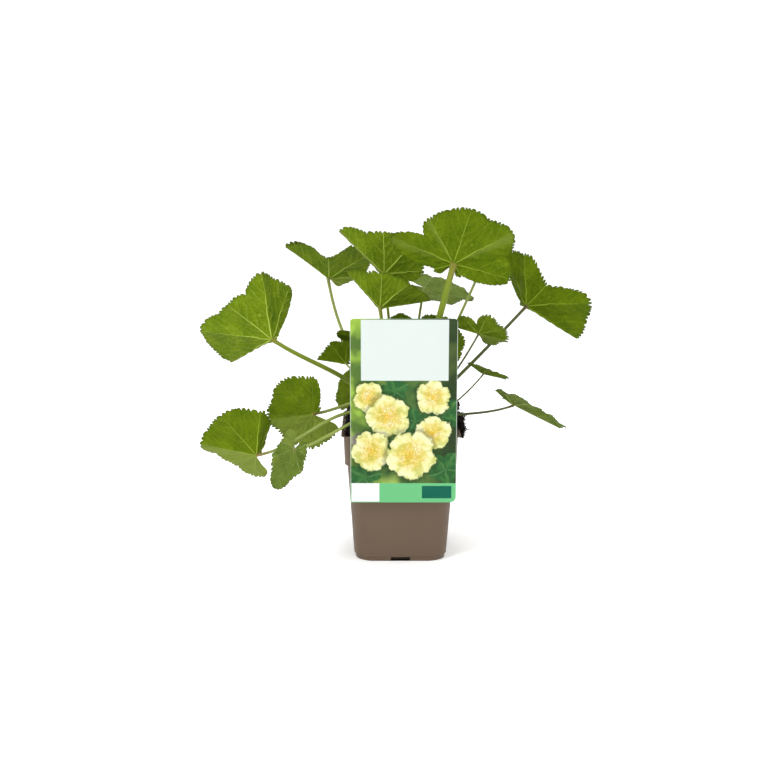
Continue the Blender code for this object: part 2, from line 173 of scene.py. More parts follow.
for turn in range(4):
    heading = math.radians(90 * turn)
    middle = (POT_FOOT_HALF * math.sin(heading), -POT_FOOT_HALF * math.cos(heading),
              (NOTCH_HEIGHT + NOTCH_SILL) / 2)
    notch = (NOTCH_WIDTH, NOTCH_DEPTH, NOTCH_HEIGHT - NOTCH_SILL)
    shape_with_block(pot, "DIFFERENCE", middle, notch, heading)
pick(pot)
bpy.ops.object.shade_smooth_by_angle(angle=math.radians(POT_SMOOTH_ANGLE))


def tint(colour, strength=1.0):
    """A shader colour from the 0 to 255 values of a picture, dimmed by its strength. Others pass as is."""
    if isinstance(colour, bpy.types.NodeSocket) or len(colour) == 4:
        return colour
    linear = []
    for value in colour:
        share = value / 255
        linear.append(share / 12.92 if share < 0.04045 else ((share + 0.055) / 1.055) ** 2.4)
    return (*(value * strength for value in linear), 1.0)


def node(tree, kind, inputs=(), **settings):
    """Adds a shader node. Inputs are numbers, colours or other nodes' outputs, by socket."""
    made = tree.nodes.new("ShaderNode" + kind)
    for name, value in settings.items():
        setattr(made, name, value)
    for socket, source in dict(inputs).items():
        if isinstance(source, bpy.types.NodeSocket):
            tree.links.new(source, made.inputs[socket])
        else:
            made.inputs[socket].default_value = source
    return made


def calc(operation, first, second=0.0, third=0.0):
    """A sum over a surface, such as SUBTRACT. Its first or second value is another node's output."""
    tree = (first if isinstance(first, bpy.types.NodeSocket) else second).id_data
    return node(tree, "Math", {0: first, 1: second, 2: third}, operation=operation).outputs[0]


def times(first, second):
    return calc("MULTIPLY", first, second)


def mix(amount, first, second, share=1.0):
    """From the first colour to the second as the amount goes from 0 to 1, but only by that share."""
    if share != 1.0:
        amount = times(amount, share)
    sockets = {0: amount, 6: tint(first), 7: tint(second)}
    return node(amount.id_data, "Mix", sockets, data_type="RGBA").outputs[2]


def rise(value, low, high):
    """0 below low, 1 above high, with a soft step between."""
    sockets = {0: value, 1: low, 2: high}
    return node(value.id_data, "MapRange", sockets, interpolation_type="SMOOTHSTEP").outputs[0]


def spots(place, scale, detail):
    """Cloudy noise from 0 to 1, with so many cells to a metre."""
    sockets = {"Vector": place, "Scale": scale, "Detail": detail}
    return node(place.id_data, "TexNoise", sockets).outputs[0]


def axes(place):
    """The x, y and z of a place, each as an output."""
    return node(place.id_data, "SeparateXYZ", {0: place}).outputs


def finish_of(name, colour, roughness, gloss=0.5):
    """A new material in one colour, and its shader."""
    made = bpy.data.materials.new(name)
    made.use_nodes = True
    made.diffuse_color = tint(colour)
    shader = made.node_tree.nodes["Principled BSDF"]
    shader.inputs["Base Color"].default_value = tint(colour)
    shader.inputs["Roughness"].default_value = roughness
    shader.inputs["Specular IOR Level"].default_value = gloss
    return made, shader


def mottled(name, colour, roughness, scale, detail, first, second, gloss=0.5):
    """A material mottled with two colours, its shader, the place on the piece and the mottle."""
    made, shader = finish_of(name, colour, roughness, gloss)
    place = node(shader.id_data, "TexCoord").outputs["Object"]
    return made, shader, place, mix(spots(place, scale, detail), first, second)


def dress(shader, colour, bumps=None, depth=0.0, strength=1.0):
    """Gives a material its colours, and bumps of that depth in metres if it has any."""
    tree = shader.id_data
    tree.links.new(colour, shader.inputs["Base Color"])
    if bumps is not None:
        bump = node(tree, "Bump", {"Height": bumps, "Distance": depth, "Strength": strength})
        tree.links.new(bump.outputs[0], shader.inputs["Normal"])


def coat(piece, *finishes):
    """Gives a piece these materials and no others."""
    piece.data.materials.clear()
    for finish in finishes:
        piece.data.materials.append(finish)


def rest_piece(piece, slot, *replaced):
    """Freezes a finished piece at the origin and gives it to the frame."""
    pick(piece)
    bpy.ops.object.transform_apply()
    piece.select_set(False)
    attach(piece, "root")
    if replaced:
        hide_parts(*replaced)


pot_finish, shader, place, colour = mottled("taupe_plastic", (102, 84, 67), 0.5, 22, 3,
                                            (98, 81, 64), (92, 75, 59), gloss=0.3)
height = axes(place)[2]
dust = times(rise(spots(place, 260, 6), 0.56, 0.68), rise(height, 0.07, 0.125))
colour = mix(dust, colour, (66, 52, 40), 0.35)
low_dust = times(rise(spots(place, 190, 5), 0.5, 0.7), rise(height, 0.02, 0.0))
colour = mix(low_dust, colour, (84, 69, 56), 0.3)
dress(shader, colour, spots(place, 2600, 2), 0.0001, 0.4)
# The faces inside the four drain notches get a near-black finish: painted shade in the recesses.
coat(pot, pot_finish, finish_of("drain_painted_shade", (30, 25, 21), 0.9)[0])
for face in pot.data.polygons:
    near, far = sorted((abs(face.center.x), abs(face.center.y)))
    recess = POT_FOOT_HALF - NOTCH_DEPTH / 2 - NOTCH_SLACK < far < POT_FOOT_HALF - NOTCH_SLACK / 2
    if recess and near < NOTCH_WIDTH / 2 + NOTCH_SLACK and face.center.z < NOTCH_HEIGHT + NOTCH_SLACK:
        face.material_index = 1
rest_piece(pot, "pot", "pot")

# Root ball. Moist dark peat compost fills the pot to just under the lip. Its face is a low crumbly
# mound, with loose crumbs, pale fibres and a few white perlite grains lying on it.
SOIL_FOOT_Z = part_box("soil")[0].z
SOIL_TOP_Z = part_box("soil")[1].z
SOIL_EDGE_Z = 0.114
SOIL_CELLS = 120
SOIL_ROUGH = 0.0024
SOIL_SMOOTH_ANGLE = 50
CLODS_PER_METRE = 120
CLOD_ROOM = 0.0008
GAP = 0.0003
CROWN_CLEAR = 0.013
CRUMB_COUNT = 1700
CRUMB_SIZE = (0.0003, 0.0016)
SMALL_CRUMBS = 2.5
PERLITE_COUNT = 34
PERLITE_SIZE = (0.0007, 0.0017)
FIBRE_COUNT = 150
FIBRE_RADIUS = 0.00016
FIBRE_STEPS = 6
FIBRE_STEP = 0.0022
FIBRE_CURL = 0.5
FIBRE_LIFT = (0.0002, 0.0016)


def cavity_half(z):
    """Inside half width of the pot at height z."""
    body = POT_BODY_LOW_HALF + (POT_BODY_HIGH_HALF - POT_BODY_LOW_HALF) * z / POT_COLLAR_BOTTOM
    climb = (z - POT_COLLAR_BOTTOM) / (POT_HEIGHT - POT_COLLAR_BOTTOM)
    collar = POT_COLLAR_LOW_HALF + (POT_COLLAR_HIGH_HALF - POT_COLLAR_LOW_HALF) * climb
    return (body if z < POT_COLLAR_BOTTOM + POT_WALL else collar) - POT_WALL


def round_off(x, y, half, corner):
    """Moves a point of a square of that half width into the square with round corners."""
    reach = max(abs(x), abs(y), 1e-9)
    way_x, way_y = abs(x) / reach, abs(y) / reach
    inner = half - corner
    if min(way_x, way_y) * half > inner:
        across = way_x * inner + way_y * inner
        square = way_x * way_x + way_y * way_y
        limit = (across + math.sqrt(across ** 2 - square * (2 * inner ** 2 - corner ** 2))) / square
        return x * limit / half, y * limit / half
    return x, y


def soil_height(x, y):
    """Height of the compost at a place: a low mound broken into clods and crumbs."""
    edge = min(1.0, max(abs(x), abs(y)) / cavity_half(SOIL_EDGE_Z))
    mound = SOIL_EDGE_Z + (SOIL_TOP_Z - CLOD_ROOM - SOIL_EDGE_Z) * math.cos(edge * math.pi / 2)
    clods = noise.fractal(Vector((x, y, 0.3)) * CLODS_PER_METRE, 0.7, 2.2, 5)
    return mound + SOIL_ROUGH * clods * (0.3 + 0.7 * edge)


soil_half = cavity_half(SOIL_EDGE_Z) - GAP
bpy.ops.mesh.primitive_grid_add(x_subdivisions=SOIL_CELLS, y_subdivisions=SOIL_CELLS,
                                size=2 * soil_half, location=(0, 0, SOIL_EDGE_Z))
soil = start_piece("compost")
bpy.ops.mesh.select_mode(type="VERT")
bpy.ops.mesh.select_non_manifold()
soil_levels = [
    (POT_COLLAR_BOTTOM + 2 * POT_WALL, cavity_half(POT_HEIGHT) - POT_WALL),
    (POT_COLLAR_BOTTOM + POT_WALL / 2, cavity_half(POT_COLLAR_BOTTOM) - GAP),
    (SOIL_FOOT_Z, POT_FOOT_HALF - POT_WALL - GAP),
]
last_z, last_half = SOIL_EDGE_Z, soil_half
for z, half in soil_levels:
    bpy.ops.mesh.extrude_region_move(TRANSFORM_OT_translate={"value": (0, 0, z - last_z)})
    bpy.ops.transform.resize(value=(half / last_half, half / last_half, 1))
    last_z, last_half = z, half
bpy.ops.mesh.edge_face_add()
bpy.ops.mesh.select_all(action="SELECT")
bpy.ops.mesh.normals_make_consistent(inside=False)
bpy.ops.object.mode_set(mode="OBJECT")
bpy.ops.object.transform_apply()
for vertex in soil.data.vertices:
    x, y, z = vertex.co
    half = max(cavity_half(z) - GAP, 0.01)
    x, y = round_off(x, y, half, pot_corner(z) - POT_WALL - GAP)
    vertex.co = (x, y, soil_height(x, y) if z > SOIL_EDGE_Z - 1e-4 else z)
bpy.ops.object.shade_smooth_by_angle(angle=math.radians(SOIL_SMOOTH_ANGLE))

soil_finish, shader, place, colour = mottled("moist_peat", (38, 29, 23), 0.92, 160, 5,
                                             (24, 18, 14), (58, 44, 34))
colour = mix(rise(spots(place, 620, 3), 0.6, 0.72), colour, (86, 66, 48))
dress(shader, colour, spots(place, 900, 5), 0.0007, 0.9)
coat(soil, soil_finish)
rest_piece(soil, "soil", "soil")


def link_piece(name, data):
    """Puts new mesh or curve data into the scene as a piece."""
    made = bpy.data.objects.new(name, data)
    bpy.context.collection.objects.link(made)
    return made


def grains(name, places, sizes, rng):
    """Many small lumps in one mesh: each has twenty faces, its own squash and its own turn."""
    bpy.ops.object.select_all(action="DESELECT")
    bpy.ops.mesh.primitive_ico_sphere_add(subdivisions=1, radius=1)
    lump = bpy.context.object
    corners = np.array([vertex.co[:] for vertex in lump.data.vertices])
    faces = np.array([face.vertices[:] for face in lump.data.polygons])
    bpy.data.objects.remove(lump, do_unlink=True)
    count = len(places)
    turns, _ = np.linalg.qr(rng.normal(size=(count, 3, 3)))
    turns = turns * np.sign(np.linalg.det(turns))[:, None, None]
    stretched = corners * rng.uniform(0.55, 1.15, (count, 1, 3)) * rng.uniform(0.8, 1.2, (count, 12, 1))
    spread = np.einsum("nij,nkj->nki", turns, stretched) * np.array(sizes)[:, None, None]
    points = (spread + np.array(places)[:, None, :]).reshape(-1, 3)
    corners_of = (faces[None] + 12 * np.arange(count)[:, None, None]).reshape(-1, 3)
    mesh = bpy.data.meshes.new(name)
    mesh.from_pydata(points.tolist(), [], corners_of.tolist())
    return link_piece(name, mesh)


def threads(name, routes, radius):
    """Thin threads in one mesh, each through its own points, thinner at both ends."""
    curve = bpy.data.curves.new(name, "CURVE")
    curve.dimensions = "3D"
    curve.bevel_depth = radius
    curve.bevel_resolution = 0
    curve.resolution_u = 3
    curve.use_fill_caps = True
    for route in routes:
        spline = curve.splines.new("NURBS")
        spline.points.add(len(route) - 1)
        for k, point in enumerate(route):
            spline.points[k].co = (*point, 1.0)
            spline.points[k].radius = 0.45 + 0.55 * math.sin(math.pi * (k + 0.5) / len(route))
        spline.use_endpoint_u = True
        spline.order_u = 4
    pick(link_piece(name, curve))
    bpy.ops.object.convert(target="MESH")
    bpy.ops.object.mode_set(mode="EDIT")
    bpy.ops.mesh.select_all(action="SELECT")
    bpy.ops.mesh.remove_doubles(threshold=1e-6)
    bpy.ops.mesh.normals_make_consistent(inside=False)
    bpy.ops.object.mode_set(mode="OBJECT")
    return bpy.context.object


rng = np.random.default_rng(11)


def on_soil(count, lift=0.0):
    """Random places on the compost, clear of the crown in the middle and of the wall."""
    found = []
    while len(found) < count:
        x, y = rng.uniform(-0.98, 0.98, 2) * soil_half
        if math.hypot(x, y) > CROWN_CLEAR and max(abs(x), abs(y)) < 0.96 * soil_half:
            x, y = round_off(x, y, soil_half, pot_corner(SOIL_EDGE_Z))
            found.append((x, y, soil_height(x, y) + lift))
    return found


crumbs = grains("compost_crumbs", on_soil(CRUMB_COUNT, 0.0003),
                rng.uniform(0, 1, CRUMB_COUNT) ** SMALL_CRUMBS * CRUMB_SIZE[1] + CRUMB_SIZE[0], rng)
coat(crumbs, soil_finish)
rest_piece(crumbs, "soil")
perlite = grains("perlite_grains", on_soil(PERLITE_COUNT, 0.0004),
                 rng.uniform(*PERLITE_SIZE, PERLITE_COUNT), rng)
perlite_finish, shader, place, colour = mottled("perlite", (214, 208, 196), 0.9, 500, 4,
                                                (224, 219, 208), (176, 166, 150))
dress(shader, colour, spots(place, 2400, 3), 0.0003, 0.6)
coat(perlite, perlite_finish)
rest_piece(perlite, "soil")

fibre_routes = []
for x, y, _ in on_soil(FIBRE_COUNT):
    heading = rng.uniform(0, math.tau)
    route = []
    for _ in range(FIBRE_STEPS):
        route.append((x, y, soil_height(x, y) + rng.uniform(*FIBRE_LIFT)))
        heading += rng.normal(0, FIBRE_CURL)
        x += FIBRE_STEP * math.cos(heading)
        y += FIBRE_STEP * math.sin(heading)
        x, y = (min(max(value, -0.93 * soil_half), 0.93 * soil_half) for value in (x, y))
    fibre_routes.append(route)
fibres = threads("compost_fibres", fibre_routes, FIBRE_RADIUS)
fibre_finish, shader, place, colour = mottled("peat_fibre", (98, 74, 50), 0.85, 90, 3,
                                              (52, 38, 27), (138, 108, 74))
dress(shader, colour)
coat(fibres, fibre_finish)
rest_piece(fibres, "soil")

# Peat over the rim. Black crumbly peat is heaped against the left rim, and mats of it, bound by
# curly fine roots, hang over the right one.
PEAT_CRUMB_SIZE = (0.0005, 0.0019)
PEAT_OFF_WALL = 0.0016
STRAND_RADIUS = 0.0003
STRAND_STEPS = 7
STRAND_STEP = 0.0015
STRAND_CURL = 0.6
STRAND_AHEAD = 0.25
# Each heap of peat: the points it runs through, its reach, its crumbs and its strands
TUFTS = {
    "peat_right": ([(0.0455, 0.014, 0.12), (0.05, 0.015, 0.1265), (0.056, 0.016, 0.1272),
                    (0.0588, 0.016, 0.1225), (0.0592, 0.017, 0.113)], 0.0027, 330, 150),
    "peat_front": ([(0.049, -0.016, 0.124), (0.0545, -0.018, 0.1285), (0.0572, -0.022, 0.124),
                    (0.0566, -0.026, 0.117)], 0.0024, 260, 110),
    "peat_back": ([(0.048, 0.024, 0.12), (0.053, 0.027, 0.129), (0.0556, 0.029, 0.1345)],
                  0.0024, 230, 70),
    "peat_left": ([(-0.048, -0.045, 0.12), (-0.049, -0.024, 0.1265), (-0.0484, -0.002, 0.1315),
                   (-0.0462, 0.022, 0.131)], 0.0036, 1000, 60),
}


def along_route(route, share):
    """A point at a share of the way along straight legs between the points."""
    place = share * (len(route) - 1)
    leg = min(int(place), len(route) - 2)
    return Vector(route[leg]).lerp(Vector(route[leg + 1]), place - leg)


def scattered(spread, limit):
    """A random step away from a place, no longer than the limit."""
    step = Vector(rng.normal(0, 0.5 * spread, 3))
    step.length = min(step.length, limit)
    return step


peat_finish, shader, place, colour = mottled("black_peat", (27, 21, 18), 0.9, 300, 4,
                                             (7, 5, 5), (34, 26, 21), gloss=0.2)
colour = mix(rise(spots(place, 120, 2), 0.62, 0.72), colour, (74, 56, 40))
dress(shader, colour, spots(place, 1300, 4), 0.0004, 0.8)
for tuft, (route, spread, crumb_count, strand_count) in TUFTS.items():
    places = []
    for _ in range(crumb_count):
        point = scattered(spread, spread) + along_route(route, rng.uniform(0, 1))
        if tuft == "peat_left":
            point.x = max(point.x, -cavity_half(POT_HEIGHT) + PEAT_OFF_WALL)
        places.append(point)
    lump = grains(tuft + "_crumbs", places, rng.uniform(*PEAT_CRUMB_SIZE, crumb_count), rng)
    coat(lump, peat_finish)
    replaced = [tuft] if tuft in ("peat_right", "peat_left") else []
    rest_piece(lump, "soil", *replaced)
    strands = []
    for _ in range(strand_count):
        share = rng.uniform(0, 1 - STRAND_AHEAD)
        begin = along_route(route, share)
        point = begin + scattered(spread, 0.8 * spread)
        way = (along_route(route, min(share + STRAND_AHEAD, 1)) - begin).normalized()
        strand = []
        for _ in range(STRAND_STEPS):
            strand.append(point[:])
            way = (way + Vector(rng.normal(0, STRAND_CURL, 3))).normalized()
            point = point + way * STRAND_STEP
        strands.append(strand)
    roots = threads(tuft + "_roots", strands, STRAND_RADIUS)
    coat(roots, peat_finish)
    rest_piece(roots, "soil")

# Crown. The short stub from which every leaf rises: firm green-brown tissue, ringed by the
# sheathing feet of the stalks and by small dry scales.
CROWN_LOW, CROWN_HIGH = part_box("crown")
CROWN_RADIUS = CROWN_HIGH.x
CROWN_Z = CROWN_HIGH.z - CROWN_RADIUS
CROWN_INSET = 0.0016
CROWN_RIBS = 9
RIB_DEPTH = 0.0007
LUMP_DEPTH = 0.0008
GOLDEN_ANGLE = 2.39996
SCALE_COUNT = 26
SCALE_LENGTH = 0.010
SCALE_WIDTH = 0.0042
SCALE_THICK = 0.0003
SCALE_TILTS = (20, 62)

bpy.ops.object.select_all(action="DESELECT")
bpy.ops.mesh.primitive_ico_sphere_add(subdivisions=6, radius=CROWN_RADIUS, location=(0, 0, CROWN_Z))
crown = start_piece("crown_stub")
bpy.ops.mesh.select_all(action="SELECT")
bpy.ops.mesh.bisect(plane_co=(0, 0, CROWN_LOW.z - 0.003), plane_no=(0, 0, -1), clear_outer=True,
                    use_fill=True)
bpy.ops.object.mode_set(mode="OBJECT")
bpy.ops.object.transform_apply()
for vertex in crown.data.vertices:
    out = (vertex.co - Vector((0, 0, CROWN_Z))).normalized()
    ribs = math.cos(CROWN_RIBS * math.atan2(out.y, out.x) + 5 * out.z)
    lumps = noise.fractal(vertex.co * 190, 0.8, 2.0, 4)
    vertex.co -= out * (CROWN_INSET + RIB_DEPTH * ribs * (1 - out.z) + LUMP_DEPTH * lumps)
bpy.ops.object.shade_smooth()

crown_finish, shader, place, colour = mottled("crown_tissue", (122, 128, 66), 0.62, 120, 5,
                                              (92, 82, 44), (142, 150, 82))
colour = mix(rise(spots(place, 420, 4), 0.56, 0.7), colour, (84, 58, 40))
dress(shader, colour, spots(place, 1500, 4), 0.0004, 0.7)
coat(crown, crown_finish)
rest_piece(crown, "stalk", "crown")

scale_points = []
scale_faces = []
for k in range(SCALE_COUNT):
    bearing = k * GOLDEN_ANGLE
    tilt = math.radians(rng.uniform(*SCALE_TILTS))
    out = Vector((math.cos(bearing), math.sin(bearing), 0))
    turn = Vector((-math.sin(bearing), math.cos(bearing), 0))
    foot = out * math.cos(tilt) + Vector((0, 0, math.sin(tilt)))
    base = Vector((0, 0, CROWN_Z)) + foot * (CROWN_RADIUS - 0.002)
    first = len(scale_points)
    for row in range(5):
        share = row / 4
        lift = out * math.sin(tilt + share) + Vector((0, 0, math.cos(tilt + share)))
        middle = base + lift * SCALE_LENGTH * share * rng.uniform(0.9, 1.1) + out * 0.002 * share
        half = SCALE_WIDTH / 2 * math.sin(math.pi * (0.25 + 0.72 * share))
        for side in (-1, 0, 1):
            scale_points.append(middle + turn * half * side - out * 0.0008 * abs(side))
    for row in range(4):
        for side in range(2):
            low = first + 3 * row + side
            scale_faces.append((low, low + 1, low + 4, low + 3))
scale_mesh = bpy.data.meshes.new("crown_scales")
scale_mesh.from_pydata([point[:] for point in scale_points], [], scale_faces)
scales = link_piece("crown_scales", scale_mesh)
apply_modifier(scales, "SOLIDIFY", thickness=SCALE_THICK, offset=0)
scale_finish, shader, place, colour = mottled("dry_scale", (132, 106, 66), 0.7, 170, 4,
                                              (104, 78, 48), (150, 140, 82))
dress(shader, colour)
coat(scales, scale_finish)
rest_piece(scales, "stalk")

# Leaf blades. Young hollyhock leaves of three to seven rounded lobes, soft, thin and downy, with a
# scalloped margin, a main vein to each lobe and a net of veins that puckers the blade. Some are
# folded along a main vein, and some lobes seen aslant are painted pale: painted sheen of the hairs.
LOBE = 44.0
SINUS = 154.0
MAX_WRAP = 175.0
PLEAT = 0.035
RUFFLE = 0.02
CREASE_REACH = 0.22
EAR_TURN = 16.0
EAR_WAIST = 0.72
BLADE_THICK = 0.00042
TOOTH_STEP = 0.0042
TOOTH_DEPTH = 0.0024
TOOTH_BAND = 0.12
TOOTH_COLUMNS = 7
EDGE_SAMPLES = 2400
MIN_COLUMNS = 60
MIN_RINGS = 10
RINGS_PER_METRE = 560
RING_EASE = 1.25
VEIN_STEP = 0.17
VEIN_SLANT = 0.75
VEIN_CURVE = 2.2
PUCKER = 0.013
VEIN_RIDGE = 0.0006
FRILL = 0.011
BLADE_SMOOTH_ANGLE = 70


def leaf(place, joint, aim, lean, face, length, stem, root, **form):
    """One leaf, by its angles in degrees and its sizes in metres.

    joint   point where the stalk meets the blade
    aim     direction of the middle vein as seen from the front, counted up from +X
    lean    how far the middle vein comes forward, towards -Y
    face    turn about the middle vein: 0 shows the underside to the front, 180 the upper side
    length  middle vein; stem is the stalk's radius; root is where it leaves the crown (bearing, height)
    cup, fold and creases bend the blade; lobes, notches and teeth shape its edge; hook, start and
    reach shape the stalk. down says how pale, and how many lobes wide, a blade is painted past a
    main vein: painted sheen of its hairs seen aslant.
    """
    usual = dict(cup=0, fold=(0, 0), creases={}, hook=0.35, start=0.25, reach=0.35, notches=(0.08,) * 6,
                 lobes=(0.66, 0.80, 0.93, 1.0, 0.93, 0.80, 0.66), tone="deep", down={}, teeth=1)
    return SimpleNamespace(place=place, joint=joint, aim=aim, lean=lean, face=face, length=length,
                           stem=stem, root=root, **{**usual, **form})


LEAVES = [
    leaf("left_high", (-0.119, -0.02, 0.2075), 141, 12, 0, 0.064, 0.0022, (178, 48), cup=8, fold=(0, 25),
         creases={2: 40, 1: 14, -1: 38}, lobes=(0.1, 0.85, 0.97, 0.8, 1.1, 1.08, 0.45),
         notches=(0.05, 0.05, 0.15, 0.12, -0.02, 0), hook=0.05, start=0.45, tone="bright"),
    leaf("upper_left", (-0.069, 0.075, 0.251), 89, 50, 0, 0.06, 0.0016, (140, 58), fold=(5, 10),
         creases={1: 100}, lobes=(0.3, 0.6, 0.95, 0.6, 1, 0.38, 0.2),
         notches=(0.05, 0.05, -0.25, -0.06, 0.05, 0.05), hook=0.6, reach=0.62, tone="bright",
         down={-2: (0.5, 2), 1: (0.3, 0.3)}),
    leaf("top_middle", (-0.015, 0.015, 0.263), 91, 15, 0, 0.06, 0.0014, (100, 62), cup=3, creases={1: 72},
         lobes=(0.3, 0.62, 0.8, 0.68, 0.98, 0.5, 0.3), notches=(0.05, 0.05, 0.1, 0.14, 0.05, 0.05),
         tone="bright", down={1: (0.75, 3)}),
    leaf("front_middle", (-0.019, -0.012, 0.235), 87, 20, 0, 0.047, 0.0019, (250, 66), cup=3,
         creases={-2: 80, 1: 75, -1: 15}, lobes=(0.15, 1, 0.78, 0.76, 0.97, 0.6, 0.3), tone="bright",
         down={1: (0.4, 0.6)}),
    leaf("top_right", (0.047, -0.038, 0.279), 74, 20, 0, 0.063, 0.0032, (325, 60), cup=5, hook=0.25,
         creases={1: 10, -1: -10}, lobes=(0.22, 0.84, 0.95, 0.85, 0.76, 0.98, 0.35),
         notches=(0.05, 0.16, 0.08, 0.03, 0.34, 0.05),
         down={-1: (0.45, 0.3), 1: (0.35, 0.3), 2: (0.35, 0.3)}),
    leaf("behind_top", (0.0245, 0.078, 0.2415), -13, 10, 100, 0.05, 0.0013, (60, 60), tone="grey"),
    leaf("right_high", (0.119, 0.014, 0.233), 50, 15, 0, 0.06, 0.0016, (0, 38),
         creases={-2: 80, 1: 60, -1: 15}, lobes=(0.3, 1.03, 1, 0.48, 0.84, 0.93, 0.3),
         notches=(0.05, 0.04, 0.1, 0.1, 0.03, 0.05), hook=0.15, teeth=1.3),
    leaf("right_small", (0.071, -0.025, 0.213), 74, 50, 0, 0.0335, 0.001, (330, 34),
         creases={2: 80, -2: 10}, lobes=(0.72, 0.82, 0.86, 1.05, 0.87, 0.65, 0.3),
         notches=(0.05, 0.08, 0.12, 0.6, 0.08, 0.05), teeth=2.2, tone="bright",
         down={-2: (0.4, 2)}),
    leaf("right_edge_on", (0.076, -0.022, 0.175), -10, 50, 85, 0.026, 0.0008, (5, 10), cup=5, fold=(0, 20),
         tone="mid"),
    leaf("right_low", (0.106, -0.01, 0.143), -20, 40, 85, 0.054, 0.0012, (340, 28), fold=(0, 20),
         lobes=(0.5, 0.85, 1, 1, 0.8, 0.6, 0.4), hook=0.2, tone="grey"),
    leaf("far_left_low", (-0.1315, -0.056, 0.1066), 128, 10, 0, 0.0505, 0.0015, (212, 34), fold=(0, 15),
         creases={1: 25, -1: 60}, lobes=(0.15, 0.7, 0.85, 1, 1.03, 0.6, 0.78),
         notches=(0.04, 0.04, -0.02, 0.03, 0.04, 0.04), hook=0.2, start=0.5, tone="mid",
         down={1: (0.7, 3)}),
    leaf("left_low", (-0.081, -0.028, 0.138), 180, 10, 180, 0.044, 0.0016, (205, 62),
         lobes=(0.66, 0.74, 0.78, 0.97, 1, 0.8, 0.2), notches=(0.08, 0.08, 0.08, 0.06, 0, 0.08),
         hook=0.2, start=0.45, teeth=1.5, tone="bright", down={-0.1: (0.55, 4)}),
    leaf("front_left_low", (-0.095, -0.084, 0.12), 244, 10, 215, 0.0395, 0.0014, (236, 34),
         lobes=(0.3, 0.38, 0.58, 1, 0.6, 0.42, 0.48), start=0.45, tone="grey",
         down={2: (0.5, 2)}),
    leaf("left_small", (-0.051, -0.03, 0.1865), 170, 20, 0, 0.026, 0.001, (262, 34), cup=5, fold=(0, 75),
         teeth=1.4),
    leaf("left_tiny", (-0.043, -0.01, 0.2065), 160, 20, 20, 0.018, 0.001, (180, 85),
         lobes=(0.3, 0.3, 0.38, 1, 0.62, 0.8, 0.6), fold=(0, 30)),
    leaf("middle_small", (0, -0.02, 0.219), 90, 20, 0, 0.014, 0.0009, (280, 45)),
    leaf("back_low", (-0.014, 0.062, 0.168), 105, -50, 180, 0.04, 0.0014, (110, 20), cup=12),
    leaf("back_right_low", (0.034, 0.058, 0.186), 55, -45, 180, 0.035, 0.0013, (50, 20), cup=12,
         tone="bright"),
    leaf("back_left_low", (-0.044, 0.06, 0.14), 150, -60, 180, 0.028, 0.0012, (150, 14), cup=8,
         tone="mid"),
    leaf("back_foot", (0.016, 0.068, 0.136), 70, -75, 180, 0.032, 0.0012, (80, 10), cup=5, start=0.4,
         tone="grey"),
    leaf("back_right_high", (0.079, 0.053, 0.264), 80, -40, 180, 0.031, 0.0014, (25, 52), cup=15),
]

# Greens of each tone: blade, mottle and veins of the underside, then of the upper side
TONES = {
    "bright": ((114, 140, 12), (92, 120, 4), (170, 190, 76),
               (108, 132, 10), (88, 116, 4), (144, 160, 58)),
    "mid": ((104, 128, 5), (86, 112, 2), (146, 164, 50),
            (106, 128, 5), (88, 112, 2), (146, 162, 50)),
    "deep": ((97, 121, 4), (82, 107, 1), (136, 158, 44),
             (97, 121, 10), (78, 105, 4), (134, 152, 54)),
    "grey": ((112, 132, 44), (92, 114, 28), (152, 168, 90),
             (110, 132, 46), (88, 112, 30), (158, 172, 104)),
}
# Painted sheen: the pale grey-green that the hairs show when a lobe is seen aslant.
PAINTED_SHEEN_COLOUR = (144, 160, 72)


def wavered(place, scale, detail, push):
    """The place, pushed a little to and fro by cloudy noise."""
    tree = place.id_data
    wave = node(tree, "TexNoise", {"Vector": place, "Scale": scale, "Detail": detail}).outputs[1]
    wave = node(tree, "VectorMath", {0: wave, 1: (-0.5, -0.5, -0.5)}, operation="ADD").outputs[0]
    return node(tree, "VectorMath", {0: wave, 1: push, 2: place}, operation="MULTIPLY_ADD").outputs[0]


def cell_edges(place, scale):
    """How far a place is from the edges of a net of cells."""
    sockets = {"Vector": place, "Scale": scale}
    return node(place.id_data, "TexVoronoi", sockets, feature="DISTANCE_TO_EDGE").outputs[0]


def noted(shader, name):
    """The value that a mesh keeps at each point under this name."""
    return node(shader.id_data, "Attribute", attribute_name=name).outputs["Fac"]


